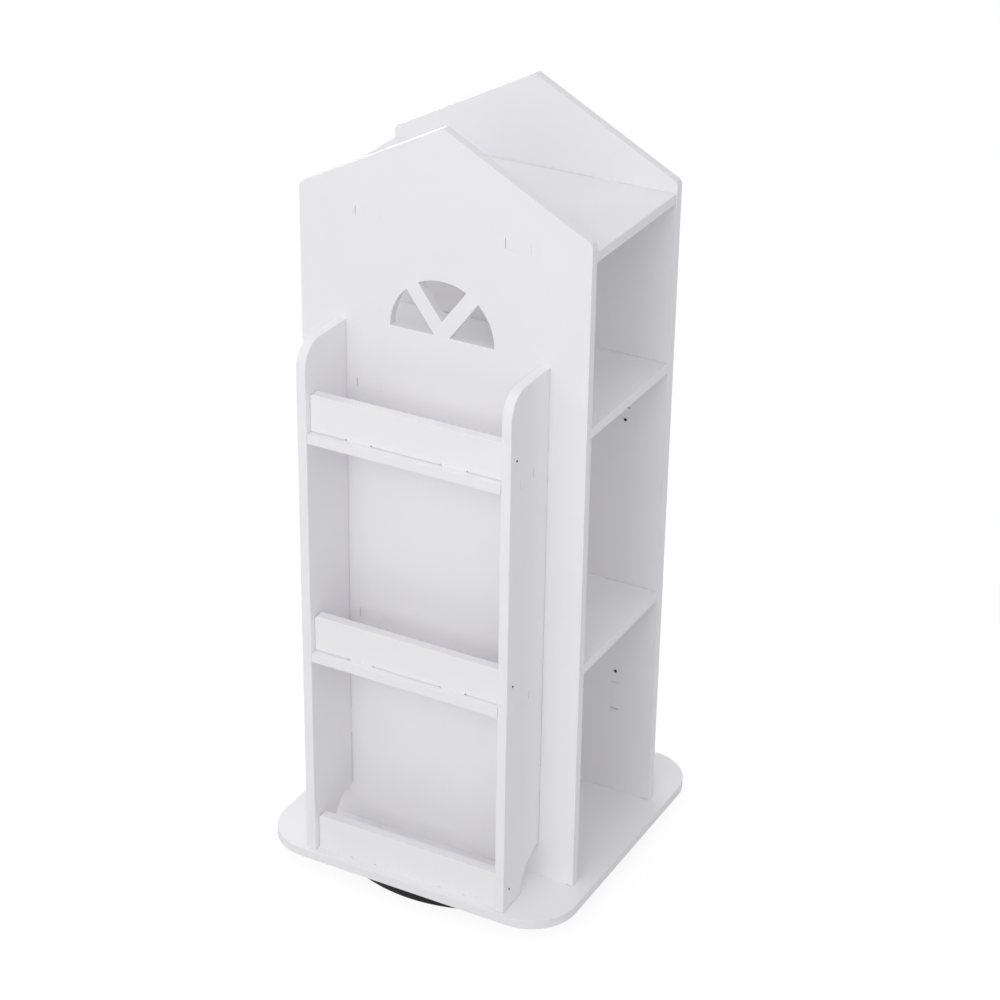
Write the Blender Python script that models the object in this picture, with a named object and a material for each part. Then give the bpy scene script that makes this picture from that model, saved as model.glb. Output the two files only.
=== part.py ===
"""A child's revolving bookcase, shaped like a house and built of white boards that slot together.

Two gables stand on a round-cornered base board and carry two shelves and a roof board between them. A display
rack of three tiers hangs on the outer face of each gable. The base board turns on a round black turntable.

Lengths are in metres. +Z is up, the front is towards -Y, and the origin is on the floor under the pivot.
"""

import math

import bmesh
import bpy
from mathutils import Matrix, Vector

# Boards and the way they fit
BOARD = 0.013  # thickness of every board
GAP = 0.0003  # between faces that meet
FOOT_GAP = 0.0004  # under a board that stands on its tabs
TAB_RECESS = 0.0004  # how far a tab's end lies below the face it comes through
SLOT_PLAY = 0.0005  # extra slot length at each end of a tab
UPRIGHT_SLOT_ROOM = 0.0006  # still more slot below a tab whose slot stands upright
RELIEF_RADIUS = 0.0014  # round reliefs that the cutter leaves beside a tab's root
CURVE_STEPS = 8  # straight steps along a rounded corner
RELIEF_STEPS = 3

# Gables, and the heights of what they carry, counted from one board to the next
GABLE_WIDTH = 0.400
BODY_DEPTH = 0.243  # over the outer faces of both gables
LOWER_SHELF_RISE = 0.330
UPPER_SHELF_RISE = 0.3315
ROOF_BOARD_RISE = 0.2285
EAVE_RISE = 0.0145
ROOF_RISE = 0.1055
EAVE_RADIUS = 0.009
APEX_RADIUS = 0.005
SHELF_INSET = 0.0015  # from a gable's side edge to the end of a shelf
SHELF_TAB = 0.034
SHELF_TAB_INSET = 0.097  # from a gable's side edge to the middle of a tab
FOOT_STEP = 0.009  # length of each outer end of a gable's foot, which clears the base

# Half-round window in the front gable
WINDOW_RADIUS = 0.0725
WINDOW_SILL_RISE = 0.082  # above the upper shelf
BAR_WIDTH = 0.020
BAR_ANGLE = math.radians(53.4)
BAR_MEETING_RISE = 0.0028  # the bars' centre lines meet this far above the sill
WINDOW_STEPS = 36

# Base board
BASE_SIDE_MARGIN = 0.02275  # from a gable's side edge to the base's side
BASE_FRONT_MARGIN = 0.00525  # from a rack's front to the base's edge
BASE_RADIUS = 0.0665
BASE_CORNER_STEPS = 12

# Display racks
RACK_SIDE_MARGIN = 0.05125  # from a gable's side edge to a rack's outer side
RACK_DEPTH = 0.096
LOWER_TIER_RISE = 0.3063
UPPER_TIER_RISE = 0.313
RACK_SIDE_RISE = 0.1183  # side panel above the upper tier
RACK_TOP_RADIUS = 0.033
CUTOUT_DEPTH = 0.049
CUTOUT_HEIGHT = 0.053
TIER_TAB = 0.033
TIER_TAB_FROM_FRONT = 0.0418
SIDE_TAB = 0.040
UPPER_SIDE_TAB_DROP = 0.0535  # below the upper shelf
LOWER_SIDE_TAB_DROP = 0.178  # below the lower shelf
LIP_HEIGHT = 0.051
LIP_SETBACK = 0.0095
LIP_RADIUS = 0.005
LIP_TAB = 0.0335
LIP_TAB_INSET = 0.082  # from a rack's outer side to the middle of a tab

# Screws
SCREW_RADIUS = 0.0013
SCREW_HEAD_RADIUS = 0.0021
SCREW_HEAD_HEIGHT = 0.0009
SCREW_POINT = 0.003
SCREW_SIDES = 10
HOLE_END_ROOM = 0.0015  # a blind hole goes this much deeper than its screw
LIP_SCREW_RADIUS = 0.0009
LIP_SCREW_HEAD_RADIUS = 0.0015
LIP_SCREW_HEAD_HEIGHT = 0.0006
LIP_SCREW_LENGTH = 0.030
LIP_SCREW_RISE = 0.0292
LIP_SCREW_FROM_FACE = 0.005  # from a lip's front face
SIDE_SCREW_LENGTH = 0.035
SIDE_SCREW_FROM_TAB = 0.0386
BASE_SCREW_LENGTH = 0.035
BASE_SCREW_INSET = 0.045  # from a gable's side edge
PLATE_SCREW_LENGTH = 0.012
PLATE_SCREW_INSET = 0.013  # from the plate's edge

# Turntable
DISC_RADIUS = 0.208
DISC_FLOOR = 0.010
DISC_EDGE = 0.001  # chamfer
RIM_WIDTH = 0.006
RIM_CLEARANCE = 0.0025  # under the base board
RACE_RADIUS = 0.110
RACE_WIDTH = 0.020
RACE_HEIGHT = 0.004
BALL_RADIUS = 0.003
BALL_COUNT = 12
BALL_STEPS = 8
BALL_RINGS = 5
BALL_SEAT = 0.00065  # depth of a ball in each race
CAGE_WIDTH = 0.009
CAGE_THICKNESS = 0.0015
PLATE_RADIUS = 0.145
PLATE_THICKNESS = 0.004
PLATE_HOLE_RADIUS = 0.009
BOLT_RADIUS = 0.004
BOLT_HEAD_RADIUS = 0.0085
BOLT_HEAD_HEIGHT = 0.004
BOLT_HEAD_EDGE = 0.001  # chamfer
BOLT_HEAD_ROOM = 0.0035  # under the head
NUT_FLANGE_RADIUS = 0.013
NUT_FLANGE_HEIGHT = 0.0015
NUT_WIDTH = 0.013  # across the flats
NUT_HEIGHT = 0.0065
POCKET_ROOM = 0.003  # round the nut, in the base board
BOLT_END_ROOM = 0.0005
PAD_RADIUS = 0.011
PAD_HEIGHT = 0.0015
PAD_COUNT = 6
PAD_INSET = 0.010  # from the disc's edge to a pad's edge
DISC_STEPS = 60
GROOVE_STEPS = 3
SMALL_STEPS = 20

# Heights from the floor
DISC_BOTTOM = PAD_HEIGHT + GAP
DISC_FLOOR_TOP = DISC_BOTTOM + DISC_FLOOR
RACE_TOP = DISC_FLOOR_TOP + RACE_HEIGHT
BALL_HEIGHT = RACE_TOP + BALL_RADIUS - BALL_SEAT
PLATE_BOTTOM = BALL_HEIGHT + BALL_RADIUS - BALL_SEAT
PLATE_TOP = PLATE_BOTTOM + PLATE_THICKNESS
BASE_BOTTOM = PLATE_TOP + GAP
BASE_TOP = BASE_BOTTOM + BOARD

# Heights from the top of the base board
LOWER_SHELF_TOP = LOWER_SHELF_RISE
UPPER_SHELF_TOP = LOWER_SHELF_TOP + UPPER_SHELF_RISE
ROOF_BOARD_TOP = UPPER_SHELF_TOP + ROOF_BOARD_RISE
EAVE = ROOF_BOARD_TOP + EAVE_RISE
APEX = EAVE + ROOF_RISE
LOWER_TIER = LOWER_TIER_RISE
UPPER_TIER = LOWER_TIER + UPPER_TIER_RISE
RACK_TOP = UPPER_TIER + RACK_SIDE_RISE
SIDE_TAB_HEIGHTS = (LOWER_SHELF_TOP - LOWER_SIDE_TAB_DROP, UPPER_SHELF_TOP - UPPER_SIDE_TAB_DROP)
SIDE_SCREW_HEIGHTS = (SIDE_TAB_HEIGHTS[0] + SIDE_SCREW_FROM_TAB, SIDE_TAB_HEIGHTS[1] - SIDE_SCREW_FROM_TAB)

# Places that pieces share
RACK_WIDTH = GABLE_WIDTH - 2 * RACK_SIDE_MARGIN
SHELF_TAB_SPACING = GABLE_WIDTH - 2 * SHELF_TAB_INSET
LIP_TAB_SPACING = RACK_WIDTH - 2 * LIP_TAB_INSET
BASE_SCREW_SPACING = GABLE_WIDTH - 2 * BASE_SCREW_INSET
GABLE_MIDDLE = (BODY_DEPTH - BOARD) / 2  # from the pivot to the middle of a gable's thickness
RACK_SIDE_MIDDLE = (RACK_WIDTH - BOARD) / 2
LIP_MIDDLE = RACK_DEPTH - LIP_SETBACK - BOARD / 2  # forward of the gable
LIP_SCREW_LINE = RACK_DEPTH - LIP_SETBACK - LIP_SCREW_FROM_FACE


def material(name, color, roughness, metallic=0.0):
    made = bpy.data.materials.new(name)
    made.diffuse_color = (*color, 1.0)
    made.use_nodes = True
    shader = made.node_tree.nodes["Principled BSDF"]
    shader.inputs["Base Color"].default_value = (*color, 1.0)
    shader.inputs["Roughness"].default_value = roughness
    shader.inputs["Metallic"].default_value = metallic
    return made


def finished_mesh(bm, name, surface, smooth=False):
    """The bmesh as a closed mesh with its faces pointing out and one material."""
    bmesh.ops.recalc_face_normals(bm, faces=bm.faces)
    mesh = bpy.data.meshes.new(name)
    bm.to_mesh(mesh)
    bm.free()
    mesh.materials.append(surface)
    if smooth:
        mesh.shade_smooth()
        mesh.set_sharp_from_angle(angle=math.radians(35))
    return mesh


def put(name, mesh, parent, location=(0, 0, 0), right=(1, 0, 0), up=(0, 1, 0)):
    """A new object whose own X and Y axes point along right and up of its parent."""
    made = bpy.data.objects.new(name, mesh)
    bpy.context.scene.collection.objects.link(made)
    across, along = Vector(right), Vector(up)
    turn = Matrix((across, along, across.cross(along))).transposed()
    made.parent = parent
    made.location = location
    made.rotation_euler = turn.to_euler()
    return made


def combined(mesh, tool, operation):
    """The mesh with the tool cut from it or joined to it. Both meshes are used up."""
    body = put(mesh.name, mesh, None)
    other = put("tool", tool, None)
    modifier = body.modifiers.new(operation, "BOOLEAN")
    modifier.solver = "EXACT"
    modifier.operation = operation
    modifier.object = other
    bpy.context.view_layer.update()
    graph = bpy.context.evaluated_depsgraph_get()
    made = bpy.data.meshes.new_from_object(body.evaluated_get(graph))
    bpy.data.objects.remove(body)
    bpy.data.objects.remove(other)
    bpy.data.meshes.remove(tool)
    made.name = mesh.name
    return made


def arc(centre, radius, start, end, steps):
    """Points on a circle from one angle to another, both ends included."""
    angles = (start + (end - start) * k / steps for k in range(steps + 1))
    return [(centre[0] + radius * math.cos(a), centre[1] + radius * math.sin(a)) for a in angles]


def rounded(before, corner, after, radius):
    """Points of the arc that rounds a convex corner of an outline drawn anticlockwise."""
    corner = Vector(corner)
    back, on = (Vector(before) - corner).normalized(), (Vector(after) - corner).normalized()
    half = back.angle(on) / 2
    centre = corner + (back + on).normalized() * radius / math.sin(half)
    first = corner + back * radius / math.tan(half) - centre
    start = math.atan2(first.y, first.x)
    return arc(centre, radius, start, start + math.pi - 2 * half, CURVE_STEPS)


def edge(start, end, tabs=(), gap=GAP):
    """Points along one side of an outline drawn anticlockwise, without its end point.

    Each tab is (distance of its middle from the start, length). It crosses the gap and goes through the board
    beyond, with a round relief cut into its own board at each of its two roots.
    """
    reach = gap + BOARD - TAB_RECESS
    start, run = Vector(start), Vector(end) - Vector(start)
    along = run.normalized()
    out = Vector((along.y, -along.x))
    points = [tuple(start)]

    def relief(first):
        for k in range(RELIEF_STEPS + 1):
            turn = math.pi * k / RELIEF_STEPS
            place = first + RELIEF_RADIUS * (1 - math.cos(turn))
            points.append(tuple(start + along * place - out * RELIEF_RADIUS * math.sin(turn)))

    for middle, length in tabs:
        low, high = middle - length / 2, middle + length / 2
        relief(low - 2 * RELIEF_RADIUS)
        points.append(tuple(start + along * low + out * reach))
        points.append(tuple(start + along * high + out * reach))
        relief(high)
    return points


def slot(centre, tab, upright=False):
    """Outline of the slot for a tab of this length, which runs across or upright."""
    far, side = tab / 2 + SLOT_PLAY, BOARD / 2 + GAP
    points = [(-far, -side), (far, -side), (far, side), (-far, side)]
    if upright:
        low = -far - UPRIGHT_SLOT_ROOM
        points = [(-side, low), (side, low), (side, far), (-side, far)]
    return [(centre[0] + x, centre[1] + y) for x, y in points]


def screw_hole(centre, radius=SCREW_RADIUS):
    return arc(centre, radius + GAP, 0, 2 * math.pi, SCREW_SIDES)[:-1]


def board_mesh(name, outline, holes, surface, thickness=BOARD):
    """A flat board: the outline and its holes in the XY plane, thick along +Z."""
    bm = bmesh.new()
    edges = []
    for loop in [outline, *holes]:
        corners = [bm.verts.new((x, y, 0)) for x, y in loop]
        for k, corner in enumerate(corners):
            edges.append(bm.edges.new((corner, corners[(k + 1) % len(corners)])))
    bmesh.ops.triangle_fill(bm, use_beauty=True, edges=edges, normal=(0, 0, 1))
    made = bmesh.ops.extrude_face_region(bm, geom=list(bm.faces), use_keep_orig=True)
    lifted = [item for item in made["geom"] if isinstance(item, bmesh.types.BMVert)]
    bmesh.ops.translate(bm, verts=lifted, vec=(0, 0, thickness))
    return finished_mesh(bm, name, surface)


def turned_mesh(name, profile, surface, steps, closed=True):
    """The profile of (radius, height) points turned about Z. An open profile starts and ends on the axis."""
    bm = bmesh.new()
    points = [bm.verts.new((r, 0, z)) for r, z in profile]
    pairs = list(zip(points, points[1:]))
    if closed:
        pairs.append((points[-1], points[0]))
    edges = [bm.edges.new(pair) for pair in pairs]
    turn = {"axis": (0, 0, 1), "cent": (0, 0, 0), "angle": 2 * math.pi}
    bmesh.ops.spin(bm, geom=points + edges, steps=steps, use_merge=True, **turn)
    bmesh.ops.remove_doubles(bm, verts=bm.verts, dist=1e-7)
    bmesh.ops.dissolve_degenerate(bm, edges=bm.edges, dist=1e-7)
    return finished_mesh(bm, name, surface, smooth=True)


def drills(holes, radius=SCREW_RADIUS + GAP, sides=SCREW_SIDES):
    """Cylinders that cut blind holes. Each hole is (mouth, direction into the board, depth)."""
    bm = bmesh.new()
    for mouth, into, depth in holes:
        into = Vector(into)
        over = BOARD / 2  # the cutter starts outside the board
        middle = Vector(mouth) + into * (depth - over) / 2
        turn = Vector((0, 0, 1)).rotation_difference(into).to_matrix().to_4x4()
        bmesh.ops.create_cone(
            bm,
            cap_ends=True,
            segments=sides,
            radius1=radius,
            radius2=radius,
            depth=depth + over,
            matrix=Matrix.Translation(middle) @ turn,
        )
    tool = bpy.data.meshes.new("drills")
    bm.to_mesh(tool)
    bm.free()
    return tool


def rounded_rectangle(width, depth, radius, steps):
    points = []
    for k, (sx, sy) in enumerate(((1, -1), (1, 1), (-1, 1), (-1, -1))):
        centre = (sx * (width / 2 - radius), sy * (depth / 2 - radius))
        start = -math.pi / 2 + k * math.pi / 2
        points += arc(centre, radius, start, start + math.pi / 2, steps)
    return points


def across(spacing):
    """Two places, one each side of the middle."""
    return (-spacing / 2, spacing / 2)


def screw_mesh(length, surface, shank=SCREW_RADIUS, head=SCREW_HEAD_RADIUS, height=SCREW_HEAD_HEIGHT):
    """A pan-head screw: its head's underside is at z = 0 and its point at z = -length."""
    profile = [(0, height), (0.7 * head, 0.85 * height), (head, 0.3 * height), (head, 0)]
    profile += [(shank, 0), (shank, SCREW_POINT - length), (0, -length)]
    return turned_mesh("screw", profile, surface, SCREW_SIDES, closed=False)


def screw(name, mesh, parent, head, into):
    """A screw whose head rests at this place and whose point goes this way."""
    into = Vector(into)
    side = into.orthogonal().normalized()
    seat = Vector(head) - into * GAP
    return put(name, mesh, parent, seat, side, (-into).cross(side))


def make_base_board(parent, surface):
    width = GABLE_WIDTH + 2 * BASE_SIDE_MARGIN
    depth = BODY_DEPTH + 2 * (RACK_DEPTH + BASE_FRONT_MARGIN)
    outline = rounded_rectangle(width, depth, BASE_RADIUS, BASE_CORNER_STEPS)
    gable_lines = across(2 * GABLE_MIDDLE)
    lip_lines = across(BODY_DEPTH + 2 * LIP_MIDDLE)
    holes = [slot((x, y), SHELF_TAB) for x in across(SHELF_TAB_SPACING) for y in gable_lines]
    holes += [slot((x, y), LIP_TAB) for x in across(LIP_TAB_SPACING) for y in lip_lines]
    holes += [screw_hole((x, y)) for x in across(BASE_SCREW_SPACING) for y in gable_lines]
    mesh = board_mesh("base_board", outline, holes, surface)
    depth = PLATE_SCREW_LENGTH - PLATE_THICKNESS + HOLE_END_ROOM
    blind = [((x, y, 0), (0, 0, 1), depth) for x, y in plate_screw_places()]
    mesh = combined(mesh, drills(blind), "DIFFERENCE")
    pocket = [((0, 0, 0), (0, 0, 1), bolt_top() + BOLT_END_ROOM - BASE_BOTTOM)]
    tool = drills(pocket, NUT_FLANGE_RADIUS + POCKET_ROOM, SMALL_STEPS)
    put("base_board", combined(mesh, tool, "DIFFERENCE"), parent, (0, 0, BASE_BOTTOM))


def plate_screw_places():
    return arc((0, 0), PLATE_RADIUS - PLATE_SCREW_INSET, math.pi / 4, 7 * math.pi / 4, 3)


def bolt_top():
    """Height of the pivot bolt's end, level with the nut's top."""
    return PLATE_TOP + GAP + NUT_HEIGHT


def gable_outline():
    half = GABLE_WIDTH / 2
    left, right = (-half, EAVE), (half, EAVE)
    inner = half - FOOT_STEP
    foot_tabs = [(inner + x, SHELF_TAB) for x in across(SHELF_TAB_SPACING)]
    relief = arc((inner + RELIEF_RADIUS, GAP + FOOT_GAP), RELIEF_RADIUS, math.pi, 0, RELIEF_STEPS)
    outline = edge((-inner, GAP), (inner, GAP), foot_tabs)
    outline += [(inner, GAP), *relief, (half, GAP + FOOT_GAP)]
    outline += rounded((half, 0), right, (0, APEX), EAVE_RADIUS)
    outline += rounded(right, (0, APEX), left, APEX_RADIUS)
    outline += rounded((0, APEX), left, (-half, 0), EAVE_RADIUS)
    outline += [(-half, GAP + FOOT_GAP), *((-x, y) for x, y in reversed(relief))]
    return outline


def window_panes():
    """Outlines of the half-round window's three panes, between two slanting bars."""
    sill = UPPER_SHELF_TOP + WINDOW_SILL_RISE
    along = Vector((math.cos(BAR_ANGLE), math.sin(BAR_ANGLE)))
    across_bar = Vector((-along.y, along.x)) * BAR_WIDTH / 2

    def rim_angle(offset):
        """Where the right-hand bar's edge on this side meets the rim, seen from the middle of the sill."""
        start = Vector((0, BAR_MEETING_RISE)) + offset
        middle = start.dot(along)
        reach = math.sqrt(middle**2 - start.length_squared + WINDOW_RADIUS**2) - middle
        end = start + along * reach
        return math.atan2(end.y, end.x)

    low_start = Vector((0, BAR_MEETING_RISE)) - across_bar
    foot = low_start - along * low_start.y / along.y
    tip = BAR_MEETING_RISE + BAR_WIDTH / 2 / along.x
    lower, upper = rim_angle(-across_bar), rim_angle(across_bar)
    side_steps = round(WINDOW_STEPS * lower / math.pi)
    side = [(foot.x, 0), *arc((0, 0), WINDOW_RADIUS, 0, lower, side_steps)]
    crown = [(0, tip), *arc((0, 0), WINDOW_RADIUS, upper, math.pi - upper, WINDOW_STEPS - 2 * side_steps)]
    panes = [side, crown, [(-x, y) for x, y in side]]
    return [[(x, sill + y) for x, y in pane] for pane in panes]


def gable_mesh(name, surface, panes):
    """A gable in its own plane, with X across and Y up from the base board's top."""
    holes = list(panes)
    for top in (LOWER_SHELF_TOP, UPPER_SHELF_TOP, ROOF_BOARD_TOP):
        holes += [slot((x, top - BOARD / 2), SHELF_TAB) for x in across(SHELF_TAB_SPACING)]
    for x in across(2 * RACK_SIDE_MIDDLE):
        holes += [slot((x, height), SIDE_TAB, upright=True) for height in SIDE_TAB_HEIGHTS]
        holes += [screw_hole((x, height)) for height in SIDE_SCREW_HEIGHTS]
    mesh = board_mesh(name, gable_outline(), holes, surface)
    depth = BASE_SCREW_LENGTH - BOARD + HOLE_END_ROOM
    blind = [((x, GAP, BOARD / 2), (0, 1, 0), depth) for x in across(BASE_SCREW_SPACING)]
    return combined(mesh, drills(blind), "DIFFERENCE")


def make_shelf(name, top, parent, surface):
    """A board between the gables, with two tabs through each."""
    width = GABLE_WIDTH - 2 * SHELF_INSET
    depth = BODY_DEPTH - 2 * (BOARD + GAP)
    x, y = width / 2, depth / 2
    tabs = [(x + place, SHELF_TAB) for place in across(SHELF_TAB_SPACING)]
    outline = edge((-x, -y), (x, -y), tabs) + edge((x, -y), (x, y))
    outline += edge((x, y), (-x, y), tabs) + edge((-x, y), (-x, -y))
    put(name, board_mesh(name, outline, [], surface), parent, (0, 0, BASE_TOP + top - BOARD))


def rack_side_mesh(surface):
    """A rack's side panel in its own plane: X is forward of the gable and Y is up."""
    corner = (RACK_DEPTH, RACK_TOP)
    outline = [(CUTOUT_DEPTH, FOOT_GAP), (RACK_DEPTH, FOOT_GAP)]
    outline += rounded((RACK_DEPTH, 0), corner, (0, RACK_TOP), RACK_TOP_RADIUS)
    tabs = [(RACK_TOP - height, SIDE_TAB) for height in reversed(SIDE_TAB_HEIGHTS)]
    outline += edge((GAP, RACK_TOP), (GAP, CUTOUT_HEIGHT), tabs)
    for k in range(CURVE_STEPS):
        turn = math.pi / 2 * k / CURVE_STEPS
        across_cut = GAP + (CUTOUT_DEPTH - GAP) * math.sin(turn)
        outline.append((across_cut, FOOT_GAP + (CUTOUT_HEIGHT - FOOT_GAP) * math.cos(turn)))
    tab_middle = RACK_DEPTH - TIER_TAB_FROM_FRONT
    holes = [slot((tab_middle, top - BOARD / 2), TIER_TAB) for top in (LOWER_TIER, UPPER_TIER)]
    for floor in (0, LOWER_TIER, UPPER_TIER):
        holes.append(screw_hole((LIP_SCREW_LINE, floor + LIP_SCREW_RISE), LIP_SCREW_RADIUS))
    mesh = board_mesh("rack_side", outline, holes, surface)
    depth = SIDE_SCREW_LENGTH - BOARD + HOLE_END_ROOM
    blind = [((GAP, height, BOARD / 2), (1, 0, 0), depth) for height in SIDE_SCREW_HEIGHTS]
    return combined(mesh, drills(blind), "DIFFERENCE")


def rack_shelf_mesh(surface):
    """A rack's tier: X across, -Y forward of the gable, and two tabs through each side panel."""
    x = RACK_WIDTH / 2 - BOARD - GAP
    front = -RACK_DEPTH
    outline = edge((-x, front), (x, front)) + edge((x, front), (x, -GAP), [(TIER_TAB_FROM_FRONT, TIER_TAB)])
    from_back = RACK_DEPTH - GAP - TIER_TAB_FROM_FRONT
    outline += edge((x, -GAP), (-x, -GAP)) + edge((-x, -GAP), (-x, front), [(from_back, TIER_TAB)])
    holes = [slot((place, -LIP_MIDDLE), LIP_TAB) for place in across(LIP_TAB_SPACING)]
    return board_mesh("rack_shelf", outline, holes, surface)


def rack_lip_mesh(surface):
    """The board that keeps books on a tier: X across, Y up from the tier, and two tabs down through it."""
    x = RACK_WIDTH / 2 - BOARD - GAP
    tabs = [(x + place, LIP_TAB) for place in across(LIP_TAB_SPACING)]
    outline = edge((-x, FOOT_GAP), (x, FOOT_GAP), tabs, FOOT_GAP) + [(x, FOOT_GAP)]
    outline += rounded((x, 0), (x, LIP_HEIGHT), (-x, LIP_HEIGHT), LIP_RADIUS)
    outline += rounded((x, LIP_HEIGHT), (-x, LIP_HEIGHT), (-x, 0), LIP_RADIUS)
    mesh = board_mesh("rack_lip", outline, [], surface)
    depth = LIP_SCREW_LENGTH - BOARD + HOLE_END_ROOM
    from_back = BOARD - LIP_SCREW_FROM_FACE
    blind = [((side * x, LIP_SCREW_RISE, from_back), (-side, 0, 0), depth) for side in (-1, 1)]
    return combined(mesh, drills(blind, LIP_SCREW_RADIUS + GAP), "DIFFERENCE")


def make_rack(prefix, parent, meshes):
    """One display rack. Its parent lies at the foot of a gable's outer face, with the rack towards its -Y."""
    for side, word in ((-1, "left"), (1, "right")):
        face = (side * RACK_SIDE_MIDDLE + BOARD / 2, 0, 0)
        put(f"{prefix}_{word}_side", meshes["side"], parent, face, right=(0, -1, 0), up=(0, 0, 1))
        for height, place in zip(SIDE_SCREW_HEIGHTS, ("lower", "upper")):
            head = (side * RACK_SIDE_MIDDLE, BOARD, height)
            screw(f"{prefix}_{word}_side_screw_{place}", meshes["side_screw"], parent, head, (0, -1, 0))
    tiers = (("bottom", 0), ("middle", LOWER_TIER), ("top", UPPER_TIER))
    for word, floor in tiers:
        if floor:
            put(f"{prefix}_{word}_shelf", meshes["shelf"], parent, (0, 0, floor - BOARD))
        back = (0, -LIP_MIDDLE + BOARD / 2, floor)
        put(f"{prefix}_{word}_lip", meshes["lip"], parent, back, right=(1, 0, 0), up=(0, 0, 1))
        for side, hand in ((-1, "left"), (1, "right")):
            head = (side * RACK_WIDTH / 2, -LIP_SCREW_LINE, floor + LIP_SCREW_RISE)
            screw(f"{prefix}_{word}_lip_screw_{hand}", meshes["lip_screw"], parent, head, (-side, 0, 0))


def race_groove(face, up):
    """Points of a ball race's groove in a face at this height, from its inner side out."""
    radius = BALL_RADIUS + GAP
    drop = abs(BALL_HEIGHT - face)
    half = math.acos(drop / radius)
    middle = -math.pi / 2 if up else math.pi / 2
    turn = half if up else -half
    return arc((RACE_RADIUS, BALL_HEIGHT), radius, middle - turn, middle + turn, GROOVE_STEPS)


def make_turntable_base(parent, surface):
    """The black dish that stands on the floor, with a raised ball race and a recess for the bolt's head."""
    inner = RACE_RADIUS - RACE_WIDTH / 2
    outer = RACE_RADIUS + RACE_WIDTH / 2
    rim_top = BASE_BOTTOM - RIM_CLEARANCE
    rim = DISC_RADIUS - RIM_WIDTH
    recess = BOLT_HEAD_RADIUS + GAP
    ceiling = DISC_BOTTOM + BOLT_HEAD_ROOM + BOLT_HEAD_HEIGHT
    profile = [(recess, DISC_BOTTOM), (recess, ceiling), (BOLT_RADIUS + GAP, ceiling)]
    profile += [(BOLT_RADIUS + GAP, DISC_FLOOR_TOP), (inner, DISC_FLOOR_TOP), (inner, RACE_TOP)]
    profile += race_groove(RACE_TOP, up=True)
    profile += [(outer, RACE_TOP), (outer, DISC_FLOOR_TOP), (rim, DISC_FLOOR_TOP), (rim, rim_top)]
    profile += [(DISC_RADIUS - DISC_EDGE, rim_top), (DISC_RADIUS, rim_top - DISC_EDGE)]
    profile += [(DISC_RADIUS, DISC_BOTTOM + DISC_EDGE), (DISC_RADIUS - DISC_EDGE, DISC_BOTTOM)]
    put("turntable_base", turned_mesh("turntable_base", profile, surface, DISC_STEPS), parent)


def make_top_plate(parent, surface):
    """The steel plate under the base board that runs on the balls."""
    profile = [(PLATE_HOLE_RADIUS, PLATE_BOTTOM), (PLATE_HOLE_RADIUS, PLATE_TOP), (PLATE_RADIUS, PLATE_TOP)]
    profile += [(PLATE_RADIUS, PLATE_BOTTOM), *reversed(race_groove(PLATE_BOTTOM, up=False))]
    mesh = turned_mesh("turntable_top_plate", profile, surface, DISC_STEPS)
    through = [((x, y, PLATE_BOTTOM), (0, 0, 1), PLATE_THICKNESS + BOARD) for x, y in plate_screw_places()]
    put("turntable_top_plate", combined(mesh, drills(through), "DIFFERENCE"), parent)


def make_ball_cage(parent, surface):
    """The ring that keeps the balls apart, joined with its balls."""
    low, high = BALL_HEIGHT - CAGE_THICKNESS / 2, BALL_HEIGHT + CAGE_THICKNESS / 2
    inner, outer = RACE_RADIUS - CAGE_WIDTH / 2, RACE_RADIUS + CAGE_WIDTH / 2
    section = [(inner, low), (outer, low), (outer, high), (inner, high)]
    ring = turned_mesh("ball_cage", section, surface, DISC_STEPS)
    bm = bmesh.new()
    for x, y in arc((0, 0), RACE_RADIUS, 0, 2 * math.pi, BALL_COUNT)[:-1]:
        place = Matrix.Translation((x, y, BALL_HEIGHT))
        bmesh.ops.create_uvsphere(
            bm, u_segments=BALL_STEPS, v_segments=BALL_RINGS, radius=BALL_RADIUS, matrix=place
        )
    balls = finished_mesh(bm, "balls", surface)
    put("turntable_ball_cage", combined(ring, balls, "UNION"), parent)


def make_pivot(parent, surface):
    """The bolt up through both plates, and the flanged lock nut that keeps them together."""
    head_bottom = DISC_BOTTOM + BOLT_HEAD_ROOM - GAP
    head_top = head_bottom + BOLT_HEAD_HEIGHT
    profile = [(0, head_bottom), (BOLT_HEAD_RADIUS - BOLT_HEAD_EDGE, head_bottom)]
    profile += [(BOLT_HEAD_RADIUS, head_bottom + BOLT_HEAD_EDGE), (BOLT_HEAD_RADIUS, head_top)]
    profile += [(BOLT_RADIUS, head_top), (BOLT_RADIUS, bolt_top()), (0, bolt_top())]
    put("pivot_bolt", turned_mesh("pivot_bolt", profile, surface, SMALL_STEPS, closed=False), parent)
    bottom = PLATE_TOP + GAP
    hole = BOLT_RADIUS + GAP
    round_hole = arc((0, 0), hole, 0, 2 * math.pi, SMALL_STEPS)[:-1]
    corner = NUT_WIDTH / 2 / math.cos(math.pi / 6)
    hexagon = arc((0, 0), corner, 0, 2 * math.pi, 6)[:-1]
    nut = board_mesh("pivot_nut", hexagon, [round_hole], surface, NUT_HEIGHT)
    flange_ring = arc((0, 0), NUT_FLANGE_RADIUS, 0, 2 * math.pi, SMALL_STEPS)[:-1]
    wide_hole = arc((0, 0), (hole + NUT_WIDTH / 2) / 2, 0, 2 * math.pi, SMALL_STEPS)[:-1]
    flange = board_mesh("flange", flange_ring, [wide_hole], surface, NUT_FLANGE_HEIGHT)
    put("pivot_lock_nut", combined(nut, flange, "UNION"), parent, (0, 0, bottom))


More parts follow.
